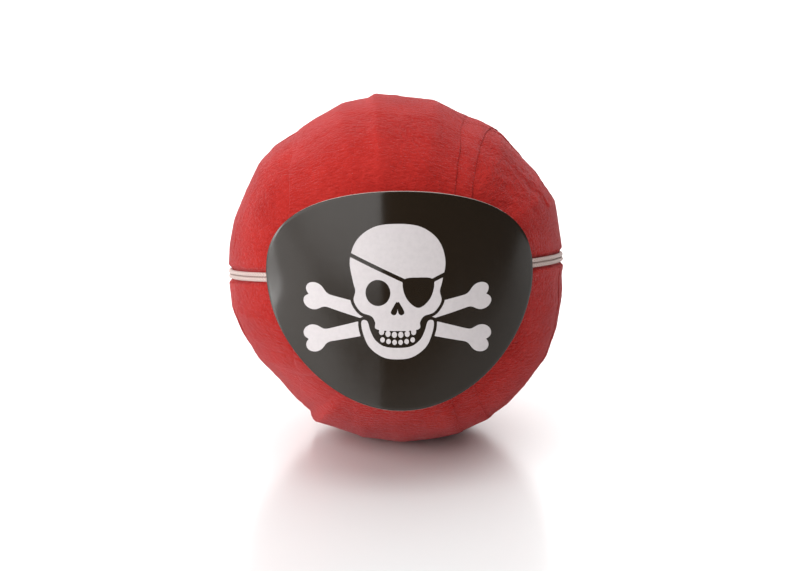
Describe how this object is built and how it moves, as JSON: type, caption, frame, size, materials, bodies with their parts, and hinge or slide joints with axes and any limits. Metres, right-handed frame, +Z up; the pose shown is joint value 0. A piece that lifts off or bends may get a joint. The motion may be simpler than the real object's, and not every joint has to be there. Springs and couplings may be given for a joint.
{
  "type": "surprise ball",
  "caption": "Ball wound from red crepe paper strips over small hidden favours, with a black eye patch bearing a skull and crossed bones held on its front by doubled elastic cord.",
  "frame": {"origin": "centre of the small pressed flat that the ball rests on", "axes": "+Z up through the ball's centre; -Y towards the eye patch; +X to the right of one who faces the patch"},
  "size_m": [0.0901, 0.094, 0.0916],
  "materials": {
    "crepe_red": "matt crinkled crepe paper, fuzzy at its edges",
    "crepe_white": "matt crinkled crepe paper",
    "crepe_black": "matt crinkled crepe paper",
    "core_rubber": "marbled bouncing rubber",
    "message_paper": "aged plain paper",
    "thread": "twisted thread",
    "gold_plastic": "vacuum-gilded plastic",
    "ruby_plastic": "clear red plastic",
    "emerald_plastic": "clear green plastic",
    "blue_plastic": "moulded plastic",
    "elastic_cord": "braided off-white elastic cord",
    "patch_vinyl": "glossy printed black vinyl film",
    "patch_backing": "pale matt ply",
    "tab_film": "black vinyl film"
  },
  "bodies": {
    "ball": {"core_ball": "core_rubber", "wound_strip_1": "crepe_red", "wound_strip_2": "crepe_white", "wound_strip_3": "crepe_black", "wound_strip_4": "crepe_white", "wound_strip_5": "crepe_red", "message_scroll": "message_paper", "scroll_thread": "thread", "ring_band": "gold_plastic", "ring_stone": "ruby_plastic", "coin_1": "gold_plastic", "coin_2": "gold_plastic", "gem": "emerald_plastic", "spinning_top": "blue_plastic", "outer_turn_1": "crepe_red", "outer_turn_2": "crepe_red", "outer_turn_3": "crepe_red", "outer_turn_4": "crepe_red", "outer_turn_5": "crepe_red", "outer_turn_6": "crepe_red", "outer_turn_7": "crepe_red", "outer_turn_8": "crepe_red"},
    "band": {"elastic_wrap": "elastic_cord"},
    "patch": {"patch_backing": "patch_backing", "patch_face": "patch_vinyl", "anchor_tab_left": "tab_film", "anchor_tab_right": "tab_film", "elastic_lead_left": "elastic_cord", "elastic_lead_right": "elastic_cord"},
    "tail": {"strip_tail": "crepe_red"}
  },
  "joints": [
    {"name": "band_slip", "type": "hinge", "parent": "ball", "child": "band", "pos_m": [0, 0, 0.04555], "axis": [-0.0512, 0.2079, 0.9768], "continuous": true},
    {"name": "patch_pull", "type": "slide", "parent": "band", "child": "patch", "axis": [0, -0.9914, 0.1305], "range_m": [0, 0.035], "stiffness_N_per_m": 60, "springref_m": -0.01, "deforming": ["elastic_lead_left", "elastic_lead_right"]},
    {"name": "tail_peel", "type": "hinge", "parent": "ball", "child": "tail", "pos_m": [0.00221, 0.02103, 0.08682], "axis": [0.9945, -0.1045, 0], "range_deg": [0, 100]}
  ]
}
